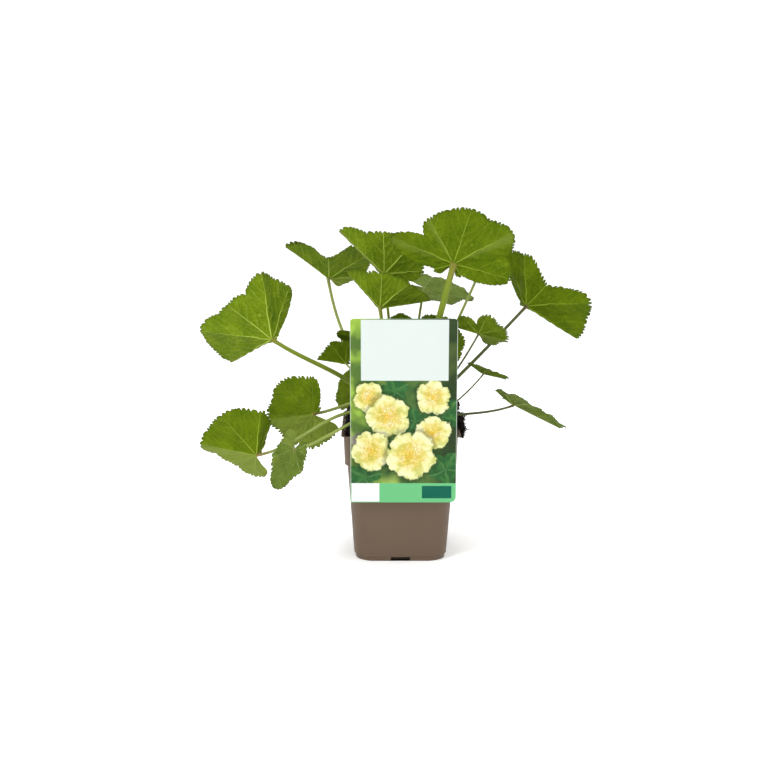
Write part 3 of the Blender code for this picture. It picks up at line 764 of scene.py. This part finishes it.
def leaf_skin(name, blade, mottle, vein, ridge):
    """One side of a blade. Its veins follow the flat map, and stand up (ridge 1) or sink in (ridge -1)."""
    made, shader = finish_of(name, blade, 0.62, gloss=0.06)
    flat = node(shader.id_data, "UVMap", uv_map="flat").outputs[0]
    bent = wavered(flat, 5, 2, (0.05, 0.05, 0))
    reach = node(shader.id_data, "VectorMath", {0: bent}, operation="LENGTH").outputs[1]
    angle = calc("ARCTAN2", axes(bent)[0], axes(bent)[1])
    lobe = math.radians(LOBE)
    number = calc("ROUND", calc("DIVIDE", angle, lobe))
    number = calc("MAXIMUM", calc("MINIMUM", number, 3.0), -3.0)
    off = calc("SUBTRACT", angle, times(number, lobe))
    run = times(reach, calc("COSINE", off))
    gap = calc("ABSOLUTE", times(reach, calc("SINE", off)))
    width = calc("MAXIMUM", calc("MULTIPLY_ADD", run, -0.012, 0.0145), 0.004)
    main = rise(gap, width, times(width, 0.3))
    side = times(calc("GREATER_THAN", off, 0.0), 0.5)
    curve = times(gap, calc("MULTIPLY_ADD", gap, VEIN_CURVE, VEIN_SLANT))
    ladder = calc("DIVIDE", calc("SUBTRACT", run, curve), VEIN_STEP)
    ladder = calc("FRACT", calc("ADD", calc("ADD", ladder, side), 8.0))
    rung = calc("ABSOLUTE", calc("SUBTRACT", ladder, 0.5))
    spread = calc("DIVIDE", gap, calc("MULTIPLY_ADD", run, math.tan(lobe / 2), 0.001))
    second = times(rise(rung, 0.045, 0.012), rise(run, 0.10, 0.2))
    second = times(second, rise(spread, 1.02, 0.6))
    cells = cell_edges(bent, 19)
    net = rise(cells, 0.085, 0.012)
    fine = rise(cell_edges(bent, 58), 0.12, 0.02)
    colour = mix(rise(spots(flat, 3.2, 4), 0.35, 0.65), blade, mottle)
    colour = mix(rise(cells, 0.05, 0.3), colour, tint(mottle, 0.6), 0.18)
    for veins, strength in ((fine, 0.06), (net, 0.2), (second, 0.5), (main, 0.9)):
        colour = mix(veins, colour, vein, strength)
    # Painted sheen: the marked lobes are paled in patches, as the hairs look when seen aslant.
    patchy = calc("MULTIPLY_ADD", spots(flat, 9.0, 4), 0.5, 0.72)
    colour = mix(times(noted(shader, "down"), patchy), colour, PAINTED_SHEEN_COLOUR)
    # Painted shade: the outermost edge of each blade is darkened, as the curled margin shades itself.
    colour = mix(rise(noted(shader, "share"), 0.95, 1.0), colour, tint(mottle, 0.45), 0.55)
    high = main
    for veins, height in ((second, 0.75), (net, 0.5), (fine, 0.22)):
        high = calc("MAXIMUM", high, times(veins, height))
    dress(shader, colour, times(high, ridge), 0.0012)
    return made


skins = {}
for tone, greens in TONES.items():
    skins[tone] = (leaf_skin("leaf_upper_" + tone, *greens[3:], -1.0),
                   leaf_skin("leaf_under_" + tone, *greens[:3], 1.0))


def leaf_axes(row):
    """Blade directions in the world: across, along the middle vein, and out of the upper side."""
    aim, lean, face = (math.radians(angle) for angle in (row.aim, row.lean, row.face))
    across = np.array([math.cos(aim), 0.0, math.sin(aim)])
    back = np.array([0.0, 1.0, 0.0])
    along = math.cos(lean) * across - math.sin(lean) * back
    upper = math.sin(lean) * across + math.cos(lean) * back
    side = np.cross(along, upper)
    return (side * math.cos(face) - upper * math.sin(face), along,
            upper * math.cos(face) + side * math.sin(face))


def leaf_edge(row, phi):
    """Distance from the stalk to the leaf's smooth edge at angle phi, as a share of its length."""
    degrees = np.degrees(phi)
    place = np.clip(degrees / LOBE + 3, 0, 6)
    first = np.clip(np.floor(place).astype(int), 0, 5)
    blend = place - first
    blend = blend * blend * (3 - 2 * blend)
    lobes = np.array(row.lobes)
    body = lobes[first] * (1 - blend) + lobes[first + 1] * blend
    dip = 1 - np.abs(np.cos(np.pi * phi / math.radians(LOBE)))
    notch = 1 - np.array(row.notches)[first] * np.where(np.abs(degrees) < 3 * LOBE, dip, 0)
    ear = np.clip((SINUS - np.abs(degrees)) / EAR_TURN, 0, 1)
    return body * notch * (EAR_WAIST + (1 - EAR_WAIST) * np.sqrt(ear * (2 - ear)))


def columns_of(row, rng):
    """Angles of the blade's columns, evenly spaced along its edge, and the reach of the scallops."""
    phi = np.radians(np.linspace(-SINUS, SINUS, EDGE_SAMPLES))
    edge = leaf_edge(row, phi) * row.length
    steps = np.hypot(np.diff(edge * np.sin(phi)), np.diff(edge * np.cos(phi)))
    length = np.concatenate([[0], np.cumsum(steps)])
    step = TOOTH_STEP * min(1, 0.3 + row.length / 0.07)
    count = max(MIN_COLUMNS, int(length[-1] / step * TOOTH_COLUMNS))
    even = np.linspace(0, length[-1], count)
    angles = np.interp(even, length, phi)
    teeth = int(length[-1] / step)
    places = even / length[-1] * teeth
    places = places + 0.30 * np.sin(places * 0.9 + rng.uniform(0, 6)) + 0.17 * np.sin(places * 2.3 + 1)
    sizes = rng.uniform(0.4, 1.5, teeth + 4)[np.clip(places.astype(int), 0, teeth + 3)]
    gap = np.abs(2 * (places % 1) - 1) ** 2.4
    fade = np.clip((SINUS - np.abs(np.degrees(angles))) / 10, 0, 1)
    return angles, TOOTH_DEPTH * row.teeth * step / TOOTH_STEP * (0.3 - sizes * gap) * fade


def blade_points(row, phi, share, tooth, rng):
    """World points and flat points of the blade's middle surface, for arrays of angle and share."""
    length = row.length
    lobe = math.radians(LOBE)
    band = np.clip((share - 1 + TOOTH_BAND) / TOOTH_BAND, 0, 1) ** 1.6
    r = share * (leaf_edge(row, phi) * length + tooth * band)
    cup = math.radians(row.cup)
    wrap = min(1 / math.cos(cup), MAX_WRAP / SINUS)
    u = r * math.cos(cup) * np.sin(phi * wrap)
    v = r * math.cos(cup) * np.cos(phi * wrap)
    z = r * math.sin(cup) + PLEAT * r * share * (1 - np.abs(np.cos(np.pi * phi / lobe)))
    z = z + RUFFLE * length * share ** 2 * np.sin(3 * phi)

    off = phi - np.clip(np.round(phi / lobe), -3, 3) * lobe
    run = r / length * np.cos(off)
    gap = np.abs(r / length * np.sin(off))
    ladder = (run - gap * (VEIN_SLANT + VEIN_CURVE * gap)) / VEIN_STEP + 0.5 * (off > 0)
    swell = np.sin(np.pi * (ladder - 0.5)) ** 2 * np.clip(gap / 0.05, 0, 1) * np.clip(run / 0.2, 0, 1)
    z = z + PUCKER * length * swell * (1 - 0.5 * share ** 3)
    half = np.maximum(0.016 - 0.012 * run, 0.004)
    ridge = np.exp(-(gap / half) ** 2) * np.clip(1.1 - run, 0.15, 1) * np.clip(run / 0.04, 0, 1)
    z = z - VEIN_RIDGE * length / 0.06 * ridge
    phase = rng.uniform(0, 6, 2)
    z = z + FRILL * length * share ** 4 * (np.sin(11 * phi + phase[0]) + 0.6 * np.sin(19 * phi + phase[1]))

    bends = [(vein, math.copysign(1, vein), angle) for vein, angle in row.creases.items()]
    for vein, hand, angle in bends + [(0, -1, row.fold[0]), (0, 1, row.fold[1])]:
        turn = vein * lobe * wrap
        out = hand * (u * math.cos(turn) - v * math.sin(turn))
        on = u * math.sin(turn) + v * math.cos(turn)
        reach = np.clip(out / (CREASE_REACH * length), 0, 1)
        tilt = math.radians(angle) * reach * (2 - reach) * (hand * (phi * wrap - turn) > 0)
        out, z = out * np.cos(tilt) - z * np.sin(tilt), out * np.sin(tilt) + z * np.cos(tilt)
        u = hand * out * math.cos(turn) + on * math.sin(turn)
        v = on * math.cos(turn) - hand * out * math.sin(turn)
    side, along, upper = leaf_axes(row)
    world = np.array(row.joint) + u[..., None] * side + v[..., None] * along + z[..., None] * upper
    flat = np.stack([r * np.sin(phi), r * np.cos(phi)], axis=-1) / length
    return world, flat


def points_of(mesh):
    """The points of a mesh, as rows of x, y and z."""
    points = np.empty(len(mesh.vertices) * 3)
    mesh.vertices.foreach_get("co", points)
    return points.reshape(-1, 3)


def note_on(mesh, name, values):
    """Keeps a value at each point of a mesh, for its material to read."""
    mesh.attributes.new(name, "FLOAT", "POINT").data.foreach_set("value", values)


def grow_blade(row):
    """One blade: a flat grid whose columns become rays from the stalk and whose rows run to the edge."""
    blade_rng = np.random.default_rng(len(row.place) * 131 + int(row.length * 1e4))
    angles, tooth = columns_of(row, blade_rng)
    rings = max(MIN_RINGS, int(row.length * RINGS_PER_METRE))
    columns = len(angles)
    bpy.ops.object.select_all(action="DESELECT")
    bpy.ops.mesh.primitive_grid_add(x_subdivisions=columns - 1, y_subdivisions=rings, size=2)
    blade = bpy.context.object
    blade.name = "blade_" + row.place
    mesh = blade.data
    mesh.name = blade.name
    grid = points_of(mesh)
    column = np.rint((grid[:, 0] + 1) / 2 * (columns - 1)).astype(int)
    share = 1 - (1 - (grid[:, 1] + 1) / 2) ** RING_EASE
    phi = angles[column]
    world, flat = blade_points(row, phi, share, tooth[column], blade_rng)
    mesh.vertices.foreach_set("co", world.ravel())
    # Painted sheen: how pale each point is painted, past the listed main veins.
    down = np.zeros(len(share))
    for vein, (amount, width) in row.down.items():
        past = np.sign(vein) * (np.degrees(phi) / LOBE - vein) + 0.06
        within = np.clip(past / 0.12, 0, 1) * np.clip((width - past) / 0.2, 0, 1)
        down = np.maximum(down, amount * within)
    note_on(mesh, "share", share)
    note_on(mesh, "down", down)
    corners = np.empty(len(mesh.loops), dtype=np.int32)
    mesh.loops.foreach_get("vertex_index", corners)
    while mesh.uv_layers:
        mesh.uv_layers.remove(mesh.uv_layers[0])
    mesh.uv_layers.new(name="flat").data.foreach_set("uv", flat[corners].ravel())
    bpy.ops.object.mode_set(mode="EDIT")
    bpy.ops.mesh.select_all(action="SELECT")
    bpy.ops.mesh.remove_doubles(threshold=0.00001)
    bpy.ops.object.mode_set(mode="OBJECT")
    coat(blade, *skins[row.tone])
    apply_modifier(blade, "SOLIDIFY", thickness=BLADE_THICK, offset=0, material_offset=1)
    bpy.ops.object.shade_smooth_by_angle(angle=math.radians(BLADE_SMOOTH_ANGLE))
    rest_piece(blade, "leaf", "leaf_" + row.place)


for row in LEAVES:
    grow_blade(row)

# Leaf stalks. Round, solid and finely hairy, paler or duskier green by their place, with a flush of
# red below some blades. Each rises from a widened foot and swells a little where its blade begins.
STALK_ROOT = 1.15
STALK_TIP = 0.85
STALK_STEPS = 56
STALK_ROUND = 5
STALK_SINK = 0.00045
FOOT_SINK = 0.002
FOOT_SWELL = 0.55
TIP_SWELL = 0.28
LINE_SAMPLES = 90
LEAF_THICK_MIN = 0.0009
LEAF_THICK_SHARE = 0.018
REDDISH = {"left_low": 0.8, "far_left_low": 0.6, "top_right": 0.35, "front_left_low": 0.5}
GREEN_STALKS = ("top_right", "front_middle", "behind_top", "top_middle", "left_high")
DUSKY_STALKS = ("right_high", "right_small", "right_edge_on", "right_low")


def stalk_handles(row):
    """The four control points of the stalk's curve, from the crown to just under the blade."""
    bearing, height = (math.radians(angle) for angle in row.root)
    out = np.array([math.cos(bearing) * math.cos(height), math.sin(bearing) * math.cos(height),
                    math.sin(height)])
    start = np.array([0, 0, CROWN_Z]) + out * (CROWN_RADIUS + GAP)
    joint = np.array(row.joint)
    under = leaf_axes(row)[2]
    way = (start - joint) / np.linalg.norm(start - joint)
    into = (1 - row.hook) * way - row.hook * under
    into = into / np.linalg.norm(into)
    rim = under - float(into @ under) * into
    rim = rim / np.linalg.norm(rim) * row.stem * STALK_TIP
    thick = max(LEAF_THICK_MIN, LEAF_THICK_SHARE * row.length)
    end = joint - under * (thick / 2 + GAP) - rim
    distance = np.linalg.norm(start - end)
    return (start, start + out * distance * row.start, end + into * distance * row.reach, end)


def stalk_skin(name, low, high, flush):
    """Green skin, mottled and specked, browner at the foot and flushed with red below the blade."""
    made, shader, place, colour = mottled(name, low, 0.6, 60, 4, low, high, gloss=0.2)
    run = noted(shader, "run")
    colour = mix(rise(run, 0.25, 0.0), colour, (126, 118, 62), 0.5)
    colour = mix(rise(run, 0.86, 1.0), colour, (118, 62, 46), flush)
    colour = mix(rise(spots(place, 900, 3), 0.6, 0.72), colour, (96, 92, 48), 0.3)
    dress(shader, colour, spots(place, 1600, 3), 0.0002, 0.5)
    return made


def grow_stalk(row):
    """One stalk, drawn as a two-point curve with a round section and made a mesh."""
    start, leave, arrive, end = (Vector(point) for point in stalk_handles(row))
    end = end + Vector(leaf_axes(row)[2]) * (STALK_SINK + row.stem * 0.5)
    bpy.ops.object.select_all(action="DESELECT")
    bpy.ops.curve.primitive_bezier_curve_add()
    stalk = bpy.context.object
    stalk.name = "petiole_" + row.place
    curve = stalk.data
    curve.resolution_u = STALK_STEPS
    curve.bevel_depth = row.stem
    curve.bevel_resolution = STALK_ROUND
    curve.use_fill_caps = True
    points = curve.splines[0].bezier_points
    foot = start - (leave - start).normalized() * FOOT_SINK
    for point, place, before, after, size in (
            (points[0], foot, 2 * start - leave, leave, STALK_ROOT),
            (points[1], end, arrive, 2 * end - arrive, STALK_TIP)):
        point.handle_left_type = "FREE"
        point.handle_right_type = "FREE"
        point.co = place
        point.handle_left = before
        point.handle_right = after
        point.radius = size
    bpy.ops.object.convert(target="MESH")
    stalk = bpy.context.object
    mesh = stalk.data
    shares = np.linspace(0, 1, LINE_SAMPLES)[:, None]
    handles = [np.array(point) for point in (start, leave, arrive, end)]
    line = ((1 - shares) ** 3 * handles[0] + 3 * (1 - shares) ** 2 * shares * handles[1]
            + 3 * (1 - shares) * shares ** 2 * handles[2] + shares ** 3 * handles[3])
    places = points_of(mesh)
    nearest = np.argmin(((places[:, None] - line[None]) ** 2).sum(axis=2), axis=1)
    run = shares[nearest, 0]
    swell = 1 + FOOT_SWELL * np.exp(-(run / 0.07) ** 2) + TIP_SWELL * np.exp(-((1 - run) / 0.03) ** 2)
    centre = line[nearest]
    mesh.vertices.foreach_set("co", (centre + (places - centre) * swell[:, None]).ravel())
    note_on(mesh, "run", run)
    bpy.ops.object.shade_smooth()
    greens = ((122, 136, 60), (142, 156, 84))
    if row.place in GREEN_STALKS:
        greens = ((100, 118, 24), (122, 138, 42))
    if row.place in DUSKY_STALKS:
        greens = ((64, 72, 34), (94, 104, 60))
    coat(stalk, stalk_skin("stalk_skin_" + row.place, *greens, REDDISH.get(row.place, 0.2)))
    rest_piece(stalk, "stalk", "stalk_" + row.place)


for row in LEAVES:
    grow_stalk(row)

# Plant label. A card of white polypropylene, printed on its front, with an arm that hooks over the
# pot's lip and a tongue behind the wall. The print is a blurred green garden with pale yellow open
# blossoms, a plain white panel above and a green band below.
LABEL_LOW, LABEL_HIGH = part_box("label")
LABEL_THICK = 0.0006
LABEL_TOP_CORNER = 0.0035
LABEL_FOOT_CORNER = 0.006
CORNER_SEGMENTS = 10
TONGUE_WIDTH = 0.034
TONGUE_DROP = 0.0072
LABEL_MARGIN = 0.0005
PRINT_WAVER = 0.0050
PRINT_SOFT = 0.0002
PANEL = (-0.0362, 0.0425, 0.1755, 0.2310)
BAND_TOP = 0.0798
BLANK = (-0.0451, -0.0197, 0.0622, 0.0798)
PLATE = (0.0192, 0.0462, 0.0654, 0.0772)

label_front = LABEL_LOW.y
label_middle = (LABEL_LOW.x + LABEL_HIGH.x) / 2
bpy.ops.object.select_all(action="DESELECT")
bpy.ops.mesh.primitive_plane_add(size=1, rotation=(math.radians(90), 0, 0),
                                 location=(label_middle, label_front, (LABEL_LOW.z + LABEL_HIGH.z) / 2))
label = bpy.context.object
label.scale = (LABEL_HIGH.x - LABEL_LOW.x, LABEL_HIGH.z - LABEL_LOW.z, 1)
bpy.ops.object.transform_apply()
for right, top, corner in ((1, 0, LABEL_FOOT_CORNER), (1, 1, LABEL_TOP_CORNER), (0, 1, LABEL_TOP_CORNER)):
    start_piece("plant_label")
    bpy.ops.object.mode_set(mode="OBJECT")
    target = Vector((LABEL_HIGH.x if right else LABEL_LOW.x, label_front,
                     LABEL_HIGH.z if top else LABEL_LOW.z))
    nearest = min(label.data.vertices, key=lambda vertex: (vertex.co - target).length)
    nearest.select = True
    bpy.ops.object.mode_set(mode="EDIT")
    bpy.ops.mesh.bevel(offset=corner, segments=CORNER_SEGMENTS, affect="VERTICES")
    bpy.ops.object.mode_set(mode="OBJECT")
apply_modifier(label, "SOLIDIFY", thickness=LABEL_THICK, offset=-1)
arm_low = POT_HEIGHT + GAP
arm_high = arm_low + LABEL_THICK
tongue_front = -(cavity_half(POT_HEIGHT) - GAP)
tongue_back = tongue_front + LABEL_THICK
left, right = label_middle - TONGUE_WIDTH / 2, label_middle + TONGUE_WIDTH / 2
for low, high in (((left, label_front + GAP, arm_low), (right, tongue_back, arm_high)),
                  ((left, tongue_front, arm_high - TONGUE_DROP), (right, tongue_back, arm_high))):
    shape_with_block(label, "UNION", (Vector(low) + Vector(high)) / 2, Vector(high) - Vector(low))

card_finish, shader, place, colour = mottled("white_card", (236, 238, 234), 0.4, 45, 3,
                                             (214, 216, 212), (202, 204, 199))
dress(shader, colour, spots(place, 1400, 2), 0.00005, 0.3)

print_finish, shader = finish_of("garden_print", (110, 140, 62), 0.36, gloss=0.12)
place = node(shader.id_data, "TexCoord").outputs["Object"]
print_x, _, print_z = axes(place)
bent = wavered(place, 120, 1, (PRINT_WAVER,) * 3)
bent_x, _, bent_z = axes(bent)


def inside(low_x, high_x, low_z, high_z):
    """1 within an upright rectangle of the print, 0 outside."""
    across, up = (times(rise(line, low - PRINT_SOFT, low + PRINT_SOFT),
                        rise(line, high + PRINT_SOFT, high - PRINT_SOFT))
                  for line, low, high in ((print_x, low_x, high_x), (print_z, low_z, high_z)))
    return times(across, up)


def around(x, z, turn=0.0):
    """Wavering distance from a centre of the print, and five rounded lobes about it."""
    dx = calc("SUBTRACT", bent_x, x)
    dz = calc("SUBTRACT", bent_z, z)
    angle = calc("ADD", calc("ARCTAN2", dz, dx), turn)
    lobes = calc("ABSOLUTE", calc("COSINE", times(angle, 2.5)))
    return calc("SQRT", calc("MULTIPLY_ADD", dx, dx, times(dz, dz))), lobes


colour = mix(rise(print_x, -0.050, -0.006), (146, 178, 66), (74, 102, 50))
colour = mix(rise(spots(place, 40, 2), 0.42, 0.62), colour, (40, 74, 36), 0.8)
colour = mix(rise(spots(place, 26, 2), 0.52, 0.68), colour, (168, 192, 96), 0.7)
colour = mix(rise(print_x, 0.020, 0.044), colour, (38, 52, 28), 0.85)
colour = mix(rise(around(-0.040, 0.118)[0], 0.012, 0.002), colour, (150, 118, 150), 0.7)
# The print's leaves: centre, size and turn
for x, z, size, turn in (
        (0.038, 0.143, 0.019, 0.4), (-0.006, 0.166, 0.015, 2.0), (-0.034, 0.086, 0.017, 1.1),
        (0.041, 0.093, 0.017, 2.7), (0.012, 0.137, 0.014, 0.9)):
    away, lobes = around(x, z, turn)
    limit = calc("MULTIPLY_ADD", lobes, 0.35 * size, 0.65 * size)
    mask = rise(calc("SUBTRACT", limit, away), 0.0, 0.0012)
    veins = rise(times(calc("SUBTRACT", 1.0, lobes), away), 0.0007, 0.0)
    green = mix(veins, (38, 84, 42), (88, 130, 74), 0.5)
    green = mix(rise(spots(place, 210, 2), 0.4, 0.7), green, (54, 104, 50))
    colour = mix(mask, colour, green)
ruffles = cell_edges(bent, 430)
frill = calc("SUBTRACT", spots(place, 230, 4), 0.5)
cloud = spots(bent, 150, 4)
# The print's double blossoms: centre, size and turn
for x, z, size, turn in (
        (-0.0290, 0.160, 0.0150, 0.3), (0.0290, 0.160, 0.0165, 1.0), (-0.0120, 0.142, 0.0205, 0.7),
        (0.0290, 0.127, 0.0170, 2.2), (-0.0270, 0.110, 0.0190, 2.9), (0.0090, 0.106, 0.0235, 1.6)):
    away, petals = around(x, z, turn)
    share = calc("MULTIPLY_ADD", frill, 0.34, calc("DIVIDE", away, size))
    limit = calc("MULTIPLY_ADD", calc("POWER", petals, 0.5), 0.16, 0.84)
    depth = calc("SUBTRACT", limit, share)
    colour = mix(rise(depth, -0.25, 0.0), colour, (26, 46, 20), 0.5)
    petal = mix(rise(share, 0.25, 0.95), (214, 192, 84), (206, 208, 144))
    petal = mix(rise(cloud, 0.42, 0.66), petal, (222, 220, 178), 0.75)
    petal = mix(rise(cloud, 0.5, 0.34), petal, (172, 174, 88), 0.7)
    between = times(rise(petals, 0.35, 0.0), rise(share, 0.3, 0.8))
    petal = mix(between, petal, (176, 178, 92), 0.45)
    folds = times(rise(ruffles, 0.2, 0.0), rise(share, 0.72, 0.3))
    petal = mix(folds, petal, (176, 146, 52), 0.7)
    petal = mix(rise(share, 0.26, 0.02), petal, (206, 164, 50), 0.6)
    colour = mix(rise(depth, 0.0, 0.08), colour, petal)
colour = mix(rise(print_z, BAND_TOP + PRINT_SOFT, BAND_TOP - PRINT_SOFT), colour, (98, 174, 116))
colour = mix(inside(*PLATE), colour, (8, 88, 70))
colour = mix(inside(*BLANK), colour, (214, 216, 215))
colour = mix(inside(*PANEL), colour, (198, 206, 202))
printed = inside(LABEL_LOW.x + LABEL_MARGIN, LABEL_HIGH.x - LABEL_MARGIN, 0, LABEL_HIGH.z + 0.001)
colour = mix(calc("MULTIPLY_ADD", printed, 0.6, 0.4), (208, 214, 206), colour)
dress(shader, colour)
coat(label, card_finish, print_finish)
for face in label.data.polygons:
    face.material_index = 1 if face.normal.y < -0.9 and abs(face.center.y - label_front) < 1e-5 else 0
rest_piece(label, "label", "label")

# Photo studio. White paper that curves up all round the plant, large soft lights and the camera
# a little above the leaves, looking down at the pot.
SWEEP_RADIUS = 3.2
SWEEP_HEIGHT = 2.6
SWEEP_ROUND = 0.9
SWEEP_SIDES = 96
PAPER_GLOW = 0.22
SKY_STRENGTH = 0.40
CAMERA_PLACE = (-0.0191, -1.232, 0.424)
CAMERA_TILT = 78.1
CAMERA_FOCUS = 63.33

bpy.ops.object.select_all(action="DESELECT")
bpy.ops.mesh.primitive_circle_add(vertices=SWEEP_SIDES, radius=SWEEP_RADIUS, fill_type="NGON")
sweep = start_piece("paper_sweep")
bpy.ops.mesh.select_mode(type="EDGE")
bpy.ops.mesh.select_non_manifold()
bpy.ops.mesh.extrude_edges_move(TRANSFORM_OT_translate={"value": (0, 0, SWEEP_HEIGHT)})
bpy.ops.object.mode_set(mode="OBJECT")
apply_modifier(sweep, "BEVEL", width=SWEEP_ROUND, segments=24, limit_method="ANGLE",
               angle_limit=math.radians(60))
bpy.ops.object.shade_smooth()
paper_finish, shader = finish_of("white_paper", (250, 250, 250), 0.9)
shader.inputs["Emission Color"].default_value = (1.0, 1.0, 1.0, 1.0)
shader.inputs["Emission Strength"].default_value = PAPER_GLOW
coat(sweep, paper_finish)

for name, place, size, power, aim in (
        ("key_light", (-1.1, -1.3, 1.9), 0.9, 30, (0, 0, 0.15)),
        ("fill_light", (1.5, -1.3, 0.9), 1.6, 4, (0, 0, 0.15)),
        ("top_light", (0.1, 0.4, 1.9), 1.2, 18, (0, 0, 0.1))):
    bpy.ops.object.light_add(type="AREA", location=place)
    light = bpy.context.object
    light.name = name
    light.data.shape = "DISK"
    light.data.size = size
    light.data.energy = power
    light.rotation_euler = (Vector(aim) - Vector(place)).to_track_quat("-Z", "Y").to_euler()

world = bpy.context.scene.world or bpy.data.worlds.new("studio")
bpy.context.scene.world = world
world.use_nodes = True
sky = world.node_tree.nodes["Background"]
sky.inputs["Color"].default_value = (1.0, 1.0, 1.0, 1.0)
sky.inputs["Strength"].default_value = SKY_STRENGTH
bpy.context.scene.view_settings.view_transform = "Standard"

bpy.ops.object.camera_add(location=CAMERA_PLACE, rotation=(math.radians(CAMERA_TILT), 0, 0))
camera = bpy.context.object
camera.data.sensor_width = 36
camera.data.lens = CAMERA_FOCUS
bpy.context.scene.camera = camera
